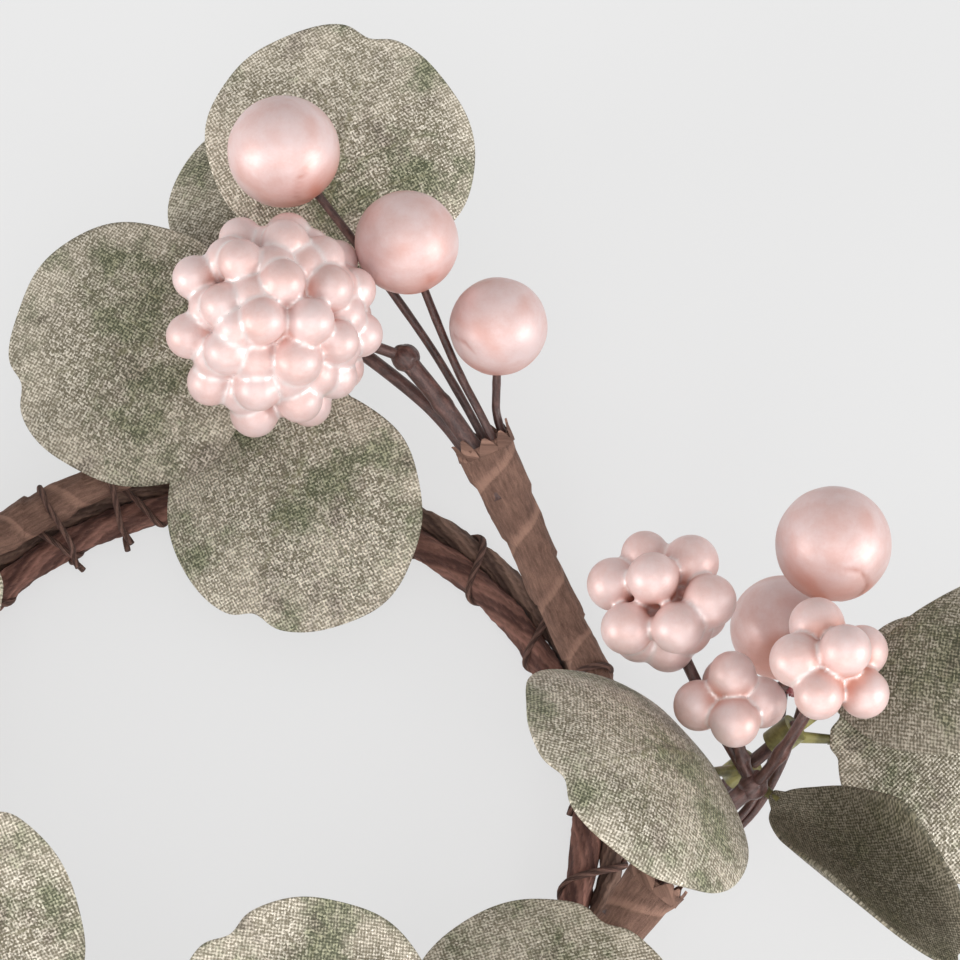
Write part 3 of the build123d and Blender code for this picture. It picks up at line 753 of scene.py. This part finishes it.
def makeTape(spray, bend, layout):
    bm = bmesh.new()
    axes = sprayAxes(bend)
    way = heading(axes, 0, layout["pitch"])
    ringRadius, height, span = tapeSize["ringRadius"], tapeSize["height"], tapeSize["span"]
    root = ringPlace(bend, ringRadius, height)
    count = skinSize["tailPoints"]
    points = [ringPlace(bend - span * (1 - k / count), ringRadius, height) for k in range(count)]
    points += [root + way * d for d in skinSize["sleevePlaces"]]
    tail = radians(span) * ringRadius
    rows = [(share * tail + past, diameter) for share, past, diameter in skinSize["rows"]]

    def radiusAt(s, total):
        for (before, first), (after, second) in zip(rows, rows[1:]):
            if s <= after:
                return (first + (second - first) * (s - before) / (after - before)) / 2
        return rows[-1][1] / 2

    def crinkle(around, s, roundScale, alongScale, depth):
        return noise(Vector((cos(around) * roundScale, sin(around) * roundScale, s * alongScale))) * depth

    def crease(around, s):
        lap = (around / (2 * pi) + s / tapeSize["lapPitch"]) % 1.0
        folds = crinkle(around, s, *skinSize["folds"])
        return lap * skinSize["lap"] - skinSize["sunk"] + folds + crinkle(around, s, *skinSize["wrinkles"])

    line = smoothLine(points, resolution=14)
    verts = tubeAlong(bm, line, radiusAt, segments=40, start=bend * tapeSize["layPerDegree"])
    bm.normal_update()
    swell(bm, verts, crease)
    tearTape(bm, root + way * tapeSize["sleeveLength"], way, axes[1], bend)
    piece = finishPiece(bm, spray + "_tape", "tape")
    (root - way * 4.0) * 0.001
    (root + way * 5.0) * 0.001
    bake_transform(piece)
    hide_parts(spray + "_tape_sleeve", spray + "_stem_wire", "stem_tails")


# Stems: leaf twig, berry wires, and the moulded trunk with its branches
# Places are across the sleeve's mouth, and a kind has a diameter and the count, lift and phase of its knots
stemSize = {
    "kneeRun": 6.0, "collarSpacing": 8.0, "collarLength": 4.0, "stub": 0.3, "socketDepth": 8.0,
    "mouthExit": 1.5, "twigPlace": (1.9, -1.5), "trunkPlace": (1.4, 1.4),
    "wirePlaces": ((-0.6, -0.7), (-1.0, 2.3), (-2.6, 0.2)),
    "twig": (1.94, 3, 0.02, 0.0), "wire": (1.2, 4, 0.06), "trunk": (2.6, 3, 0.16, 0.05),
    "branch": (1.6, 2, 0.4, 0.3), "budStem": 1.5, "knob": 4.0, "knobRough": 0.12, "knobScale": 0.9,
}


def socketRun(mouth, way, axes, place):
    across = axes[1]
    rise = way.cross(across)
    side = mouth + across * place[0] + rise * place[1]
    return side - way * stemSize["socketDepth"], side + way * stemSize["mouthExit"]


def growStem(bm, line, diameter, count, lift, phase, segments):
    def radiusAt(s, total):
        wave = cos(2 * pi * (count * s / total + phase))
        return diameter / 2 * (1 + lift * max(wave, 0.0) ** 4)

    tubeAlong(bm, line, radiusAt, segments)


def makeTwig(spray, layout, mouth, way, axes, lower, upper):
    bm = bmesh.new()
    twigWay = heading(axes, *layout["twig"][1:])
    points = [*socketRun(mouth, way, axes, stemSize["twigPlace"]), lower - twigWay * stemSize["kneeRun"],
              upper + twigWay * (stemSize["collarLength"] / 2 + stemSize["stub"])]
    growStem(bm, smoothLine(points, resolution=14), *stemSize["twig"], segments=16)
    finishPiece(bm, spray + "_twig", "stem", spray, (spray + "_leaf_twig",))


def makeStems(spray, layout, mouth, way, axes, headPlace, hearts):
    bm = bmesh.new()
    wires = zip(layout["berries"], layout["knees"], stemSize["wirePlaces"], berrySize["diameters"])
    for place, knee, socket, diameter in wires:
        centre = headPlace(place)
        end = centre - (centre - headPlace(knee)).normalized() * (diameter / 2 - berrySize["wireDepth"])
        line = smoothLine([*socketRun(mouth, way, axes, socket), headPlace(knee), end], resolution=14)
        growStem(bm, line, *stemSize["wire"], place[0], segments=12)
    fork = headPlace(layout["fork"])
    trunk = smoothLine([*socketRun(mouth, way, axes, stemSize["trunkPlace"]), fork], resolution=16)
    growStem(bm, trunk, *stemSize["trunk"], segments=20)
    for bunch, heart in zip(layout["bunches"], hearts):
        line = smoothLine([fork, headPlace(bunch[4]), heart], resolution=16)
        growStem(bm, line, *stemSize["branch"], segments=16)
    if layout["bud"]:
        line = [hearts[layout["bud"][3]], headPlace(layout["bud"][0])]
        tubeAlong(bm, line, lambda s, total: stemSize["budStem"] / 2, segments=12)
    turn = (fork - trunk[-3]).to_track_quat("Z", "Y")
    layer = bm.verts.layers.float_vector["lay"]
    knob = bmesh.ops.create_uvsphere(bm, u_segments=24, v_segments=16, radius=stemSize["knob"] / 2)
    for v in knob["verts"]:
        v[layer] = v.co
        v.co *= 1 + stemSize["knobRough"] * noise(v.co * stemSize["knobScale"])
        v.co = fork + turn @ v.co
    finishPiece(bm, spray + "_stems", "stem", spray, (spray + "_berry_stems",))


# Cups: a flared and lobed moulding where a branch meets its bunch
cupSize = {
    "places": (-4.2, -3.4, -2.6, -1.8, -1.0, -0.4, 0.2), "radii": (0.85, 1.0, 1.35, 1.9, 2.5, 2.8, 2.7),
    "lobes": 6, "lobeDepth": 0.22, "lobed": (1.0, 4.0),
}


def makeCups(spray, layout, headPlace, hearts):
    bm = bmesh.new()
    radii = cupSize["radii"]

    def radiusAt(s, total):
        place = min(len(radii) - 1.001, (len(radii) - 1) * s / total)
        low = int(place)
        return radii[low] + (radii[low + 1] - radii[low]) * (place - low)

    def lobe(around, s):
        return cupSize["lobeDepth"] * cos(cupSize["lobes"] * around) * eased(s, *cupSize["lobed"])

    for bunch, heart in zip(layout["bunches"], hearts):
        way = (heart - headPlace(bunch[4])).normalized()
        line = [heart + way * d for d in cupSize["places"]]
        verts = tubeAlong(bm, line, radiusAt, segments=30)
        bm.normal_update()
        swell(bm, verts, lobe)
    finishPiece(bm, spray + "_cups", "cup", spray, ())


# Pearl berries: round, with a shallow dented crease low on one side and a dimple at the wire
dentSize = {
    "at": 0.88, "width": 0.016, "depth": 0.16, "folds": 3, "lean": (0.25, -0.35, 0.75), "leanStep": 0.6,
    "dimpleAt": 0.96, "dimpleWidth": 0.04, "dimpleDepth": 0.5, "wobble": 0.05, "wobbleScale": 0.35,
    "castScale": 1.7, "shadeTowardStem": (0.25, 1.0), "warmCast": (0.1, 0.6),
}


def makeBerries(spray, layout, headPlace):
    bm = bmesh.new()
    creaseShadingAndGloss = bm.verts.layers.float.new("creaseShadingAndGloss")
    blushAndShade = bm.verts.layers.float.new("blushAndShade")
    lean = dentSize["lean"]
    berries = zip(layout["berries"], layout["knees"], berrySize["diameters"])
    for number, (place, knee, diameter) in enumerate(berries):
        centre = headPlace(place)
        stemWay = (headPlace(knee) - centre).normalized()
        dentWay = (stemWay + Vector((lean[0] - dentSize["leanStep"] * number, lean[1], lean[2]))).normalized()
        ball = bmesh.ops.create_uvsphere(bm, u_segments=64, v_segments=40, radius=diameter / 2)["verts"]
        turn = (-stemWay).to_track_quat("Z", "Y")
        for v in ball:
            v.co = turn @ v.co
            out = v.co.normalized()
            edge = exp(-((out.dot(dentWay) - dentSize["at"]) / dentSize["width"]) ** 2)
            edge *= max(0.0, sin(dentSize["folds"] * atan2(out.x, out.y) + number))
            dimple = max(0.0, (out.dot(stemWay) - dentSize["dimpleAt"]) / dentSize["dimpleWidth"])
            spot = v.co * dentSize["wobbleScale"] + Vector((number * 7, 0, 0))
            wobble = dentSize["wobble"] * noise(spot)
            v.co += out * (wobble - dentSize["depth"] * edge - dentSize["dimpleDepth"] * dimple)
            # Painted shade: the dent and the wire's dimple take the darker crease colour, and their higher
            # gloss is real
            v[creaseShadingAndGloss] = min(1.0, 0.8 * edge + 0.9 * dimple)
            cast = noise(out * dentSize["castScale"] + Vector((0, number * 5, 0)))
            blush = 0.3 * eased(cast, *dentSize["warmCast"])
            # Painted shade: coral toward the stem stands for the shaded lower edge, and the cast noise adds
            # real blush in random patches
            v[blushAndShade] = 0.75 * eased(out.dot(stemWay), *dentSize["shadeTowardStem"]) + blush
            v.co += centre
    finishPiece(bm, spray + "_berries", "pearl", spray, (spray + "_pearl_berries",))


# Bunches: small berries melted together over a tapering core, with more of them sunk between the whorls
bunchSize = {
    "stray": 1.3, "sunk": 0.7, "uneven": 0.16, "sizeOf": {"spray_5": 1.1}, "seam": 0.6, "blushAndShade": 0.9,
    "facing": (-0.75, 0.15),
}


def bunchPlaces(shape):
    places = [(0.0, 0.0, 0.0)]
    whorls = bunchShapes[shape]
    for row, (count, radius, depth) in enumerate(whorls):
        for k in range(count):
            angle = 2 * pi * (k + row / 2) / count
            places.append((radius, angle, depth))
            if row:
                before = whorls[row - 1]
                between = (radius + before[1]) / 2 - bunchSize["sunk"]
                places.append((between, angle + pi / count, (depth + before[2]) / 2 + bunchSize["sunk"]))
    return places


# Joins the berries' balls into one skin and rounds its seams a little
def melted(bm):
    scaled(bm, toMetres)
    mesh = bpy.data.meshes.new("melt")
    bm.to_mesh(mesh)
    bm.free()
    holder = bpy.data.objects.new("melt", mesh)
    scene.collection.objects.link(holder)
    melt = holder.modifiers.new("melt", "REMESH")
    melt.mode = "VOXEL"
    melt.voxel_size = 0.00042
    ease = holder.modifiers.new("ease", "SMOOTH")
    ease.factor = 0.5
    ease.iterations = 5
    graph = bpy.context.evaluated_depsgraph_get()
    skin = bpy.data.meshes.new_from_object(holder.evaluated_get(graph))
    bpy.data.objects.remove(holder)
    bm = bmesh.new()
    bm.from_mesh(skin)
    scaled(bm, 1 / toMetres)
    return bm


def makeBunches(spray, layout, axes, headPlace, hearts):
    bm = bmesh.new()
    centres = []
    owners = []
    ball = berrySize["small"] / 2
    for number, (shape, tip, level, pitch, bend) in enumerate(layout["bunches"]):
        way = heading(axes, level, pitch)
        turn = way.to_track_quat("Z", "Y")
        origin = headPlace(tip)
        for k, (radius, angle, depth) in enumerate(bunchPlaces(shape)):
            spot = Vector((k * 3.1, number * 5.7, 0.4))
            offset = Vector((radius * cos(angle), radius * sin(angle), -depth))
            offset += strayOf(spot) * bunchSize["stray"]
            uneven = 1 + bunchSize["uneven"] * noise(spot + Vector((0, 0, 7.7)))
            size = bunchSize["sizeOf"].get(spray, 1.0) * uneven
            centre = origin + turn @ offset
            centres.append(centre)
            owners.append(number)
            stand = Matrix.Translation(centre)
            bmesh.ops.create_icosphere(bm, subdivisions=4, radius=ball * size, matrix=stand)
        count, radius, depth = bunchShapes[shape][-1]
        stand = Matrix.Translation(origin - way * depth * 0.5) @ turn.to_matrix().to_4x4()
        bmesh.ops.create_cone(bm, cap_ends=True, segments=24, radius1=radius - ball / 2, radius2=ball * 0.6,
                              depth=depth, matrix=stand)
    bm = melted(bm)
    creaseShadingAndGloss = bm.verts.layers.float.new("creaseShadingAndGloss")
    blushAndShade = bm.verts.layers.float.new("blushAndShade")
    tree = kdtree.KDTree(len(centres))
    for k, centre in enumerate(centres):
        tree.insert(centre, k)
    tree.balance()
    for v in bm.verts:
        (centre, k, nearest), other = tree.find_n(v.co, 2)
        # Painted highlight: the seams between melted berries take the pale crease colour, and their higher
        # gloss is real
        v[creaseShadingAndGloss] = max(0.0, 1 - (other[2] - nearest) / bunchSize["seam"])
        outward = (centre - hearts[owners[k]]).normalized()
        facing = (v.co - centre).normalized().dot(outward)
        # Painted shade: coral on the sides of each small berry that face into its bunch
        v[blushAndShade] = bunchSize["blushAndShade"] * (1 - eased(facing, *bunchSize["facing"]))
    finishPiece(bm, spray + "_bunches", "smallPearl", spray, (spray + "_berry_bunch",))


# Sugared bud: a grainy drop that tapers to its tip
budSize = {
    "diameter": 4.6, "length": 8.0, "taper": 0.35, "grains": ((9.0, 0.16), (21.0, 0.08)), "grainDepth": 0.6,
}


def makeBud(spray, layout, axes, headPlace):
    place, level, pitch, carrier = layout["bud"]
    bm = bmesh.new()
    turn = heading(axes, level, pitch).to_track_quat("Z", "Y")
    for v in bmesh.ops.create_icosphere(bm, subdivisions=5, radius=1.0)["verts"]:
        taper = 1 - budSize["taper"] * max(v.co.z, 0.0)
        grain = sum(depth * noise(v.co * scale) for scale, depth in budSize["grains"])
        shape = Vector((v.co.x * taper * budSize["diameter"] / 2, v.co.y * taper * budSize["diameter"] / 2,
                        v.co.z * budSize["length"] / 2))
        v.co = headPlace(place) + turn @ (shape * (1 + grain * budSize["grainDepth"]))
    finishPiece(bm, spray + "_bud", "sugar", spray, ())


# Leaves: a round notched blade, domed or folded, with waved edges and pressed veins
# A scallop has a count, a depth and a share of the leaf's mark, and a half fold is in degrees
leafSize = {
    "petiole": 6.0, "length": 36.0, "width": 38.0, "foldedWidth": 25.0, "thickness": 0.45, "cells": 72,
    "notch": 1.4, "notchWidth": 0.13, "baseInset": 1.1, "insetBeside": (1.0, 3.0),
    "scallops": ((4, 0.012, 1), (9, 0.006, 2)), "ripple": 0.6, "rippleScale": 0.11,
    "waves": 3, "wave": -0.4, "waveMark": 1.3, "rib": 0.3, "ribWidth": 0.6,
    "groove": 0.2, "grooveAt": 0.08, "grooveWidth": 0.08, "grooveBeside": 2.0,
    "halfFolded": {("spray_5", "upper", 0): 38.0}, "softFold": 2.0, "foldedNarrow": 0.55, "foldedHigh": 1.1,
    "sprayMark": 101.0, "upperMark": 53.0, "leafMark": 37.0,
}


def leafFrame(axes, collar, leaf):
    level, pitch, roll, crown = leaf
    midrib = heading(axes, level, pitch)
    upper = (axes[2] - midrib * axes[2].dot(midrib)).normalized()
    upper = Quaternion(midrib, radians(roll)) @ upper
    return collar + midrib * leafSize["petiole"], midrib.cross(upper), midrib, upper


# The place on a flat leaf of a point of the unit square
def leafPlace(a, b, width, mark):
    x = a * sqrt(1 - b * b / 2)
    y = b * sqrt(1 - a * a / 2)
    rim = hypot(x, y)
    around = atan2(x, y)
    rough = sum(depth * sin(count * around + share * mark) for count, depth, share in leafSize["scallops"])
    scallop = 1 + rim ** 6 * rough
    notch = leafSize["notch"] * exp(-(around / leafSize["notchWidth"]) ** 2) * rim ** 3
    half = leafSize["length"] / 2
    across = x * scallop * width / 2
    along = half + y * scallop * leafSize["length"] / 2 - notch
    beside = eased(abs(across), *leafSize["insetBeside"])
    along += leafSize["baseInset"] * max(-y, 0.0) ** 2 * rim ** 4 * beside
    return across, along, rim, around


def leafRise(across, along, crown):
    half = leafSize["length"] / 2
    if crown > 0:
        reach = across ** 2 + (along - half) ** 2
        return sqrt(crown ** 2 - reach) - sqrt(crown ** 2 - half ** 2)
    return -crown - sqrt(max(crown ** 2 - across ** 2, 0.0))


# Ripples, a waved rim, sunk veins and a raised midrib
def leafRelief(across, along, rim, around, mark):
    course = along - abs(across) * veinSize["slope"] + across * across * veinSize["bow"]
    vein = (course / veinSize["spacing"]) % 1.0
    groove = exp(-((vein - leafSize["grooveAt"]) / leafSize["grooveWidth"]) ** 2)
    groove *= (1 - rim) * min(1.0, abs(across) / leafSize["grooveBeside"])
    spot = Vector((across * leafSize["rippleScale"], along * leafSize["rippleScale"], mark))
    ripple = noise(spot) * leafSize["ripple"] * rim ** 2
    wave = leafSize["wave"] * sin(leafSize["waves"] * around + mark * leafSize["waveMark"]) * rim ** 5
    rib = leafSize["rib"] * exp(-(across / leafSize["ribWidth"]) ** 2) * (1 - rim)
    return ripple + wave - leafSize["groove"] * groove + rib


def makeLeafPair(spray, pair, layout, axes, collar, seed):
    bm = bmesh.new()
    layer = bm.verts.layers.float_vector.new("lay")
    rimLayer = bm.verts.layers.float.new("rim")
    shadeAndUndersideLayer = bm.verts.layers.float.new("shadeAndUnderside")
    soft = leafSize["softFold"]
    for number, (leaf, shadeAndUnderside) in enumerate(zip(layout[pair], layout[pair + "ShadeAndUnderside"])):
        origin, sideways, midrib, upper = leafFrame(axes, collar, leaf)
        crown = leaf[3]
        width = leafSize["width"] if crown > 0 else leafSize["foldedWidth"]
        mark = seed + number * leafSize["leafMark"]
        fold = radians(leafSize["halfFolded"].get((spray, pair, number), 0.0))
        cells = leafSize["cells"]
        for v in bmesh.ops.create_grid(bm, x_segments=cells, y_segments=cells, size=1.0)["verts"]:
            across, along, rim, around = leafPlace(v.co.x, v.co.y, width, mark)
            v[layer] = (across, along, mark)
            v[rimLayer] = rim
            # Painted shade and underside dulling, the same over the whole leaf
            v[shadeAndUndersideLayer] = shadeAndUnderside
            z = leafRise(across, along, crown) + leafRelief(across, along, rim, around, mark)
            if crown < 0:
                across *= leafSize["foldedNarrow"]
                z *= leafSize["foldedHigh"]
            else:
                z -= sin(fold) * (hypot(across, soft) - soft)
                across *= cos(fold)
            v.co = origin + sideways * across + midrib * along + upper * z
    piece = finishPiece(bm, f"{spray}_{pair}Leaves", "leaf", f"{spray}_{pair}_leaf_pair",
                        (f"{spray}_{pair}_leaves",))
    wall = piece.modifiers.new("wall", "SOLIDIFY")
    wall.thickness = leafSize["thickness"] * toMetres
    wall.offset = 0.0


for number, (spray, bend, layout) in enumerate(sprays):
    axes = sprayAxes(bend)
    way = heading(axes, 0, layout["pitch"])
    mouth = ringPlace(bend, tapeSize["ringRadius"], tapeSize["height"]) + way * tapeSize["sleeveLength"]

    def headPlace(place):
        return mouth + axes[0] * place[0] + axes[1] * place[1] + axes[2] * place[2]

    collar, level, pitch = layout["twig"]
    lower = headPlace(collar)
    upper = lower + heading(axes, level, pitch) * stemSize["collarSpacing"]
    hearts = [heartOf(bunch, axes, headPlace) for bunch in layout["bunches"]]
    makeTape(spray, bend, layout)
    makeTwig(spray, layout, mouth, way, axes, lower, upper)
    makeStems(spray, layout, mouth, way, axes, headPlace, hearts)
    makeBerries(spray, layout, headPlace)
    makeBunches(spray, layout, axes, headPlace, hearts)
    makeCups(spray, layout, headPlace, hearts)
    if layout["bud"]:
        makeBud(spray, layout, axes, headPlace)
    mark = number * leafSize["sprayMark"]
    for pair, collar, seed in (("lower", lower, mark), ("upper", upper, mark + leafSize["upperMark"])):
        makeLeafPair(spray, pair, layout, axes, collar, seed)
        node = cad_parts[f"{spray}_{pair}_collar"]
        node.data.materials.clear()
        node.data.materials.append(paints["collar"])
    print(spray, "made")


# Floor, light and camera, in metres
stageLook = {
    "target": (0.0338, 0.0503, 0.0050), "elevation": 64.0, "distance": 0.700, "lens": 183.75,
    "floorDrop": 0.0001, "world": (0.56, 0.56, 0.56),
}

bm = bmesh.new()
bmesh.ops.create_grid(bm, x_segments=1, y_segments=1, size=2.5)
mesh = bpy.data.meshes.new("floor")
bm.to_mesh(mesh)
bm.free()
floor = bpy.data.objects.new("floor", mesh)
floor.location = (0, 0, -stageLook["floorDrop"])
mesh.materials.append(paints["floor"])
scene.collection.objects.link(floor)

world = bpy.data.worlds.new("studio")
world.use_nodes = True
world.node_tree.nodes["Background"].inputs["Color"].default_value = (*stageLook["world"], 1)
world.node_tree.nodes["Background"].inputs["Strength"].default_value = 1.0
scene.world = world


def softLamp(name, place, target, width, power):
    light = bpy.data.lights.new(name, "AREA")
    light.shape = "RECTANGLE"
    light.size = width[0]
    light.size_y = width[1]
    light.energy = power
    lamp = bpy.data.objects.new(name, light)
    lamp.location = place
    lamp.rotation_euler = (Vector(target) - Vector(place)).to_track_quat("-Z", "Y").to_euler()
    scene.collection.objects.link(lamp)


softLamp("leftBox", (-0.77, -0.30, 0.28), (0.03, 0.05, 0.02), (0.5, 0.4), 4.6)
softLamp("rightBox", (0.83, -0.30, 0.28), (0.03, 0.05, 0.02), (0.5, 0.4), 4.8)
softLamp("frontFill", (0.03, -0.70, 0.95), (0.03, 0.05, 0.0), (0.9, 0.9), 4.0)
softLamp("lowFill", (0.03, -0.80, 0.16), (0.03, 0.05, 0.03), (0.9, 0.3), 2.4)

tilt = radians(stageLook["elevation"])
target = Vector(stageLook["target"])
cameraData = bpy.data.cameras.new("camera")
cameraData.lens = stageLook["lens"]
cameraData.sensor_width = 36.0
cameraData.sensor_fit = "HORIZONTAL"
cameraData.clip_start = 0.01
camera = bpy.data.objects.new("camera", cameraData)
camera.location = target + Vector((0, -cos(tilt), sin(tilt))) * stageLook["distance"]
camera.rotation_euler = (pi / 2 - tilt, 0, 0)
scene.collection.objects.link(camera)
scene.camera = camera
scene.view_settings.view_transform = "Standard"

print("scene ready")
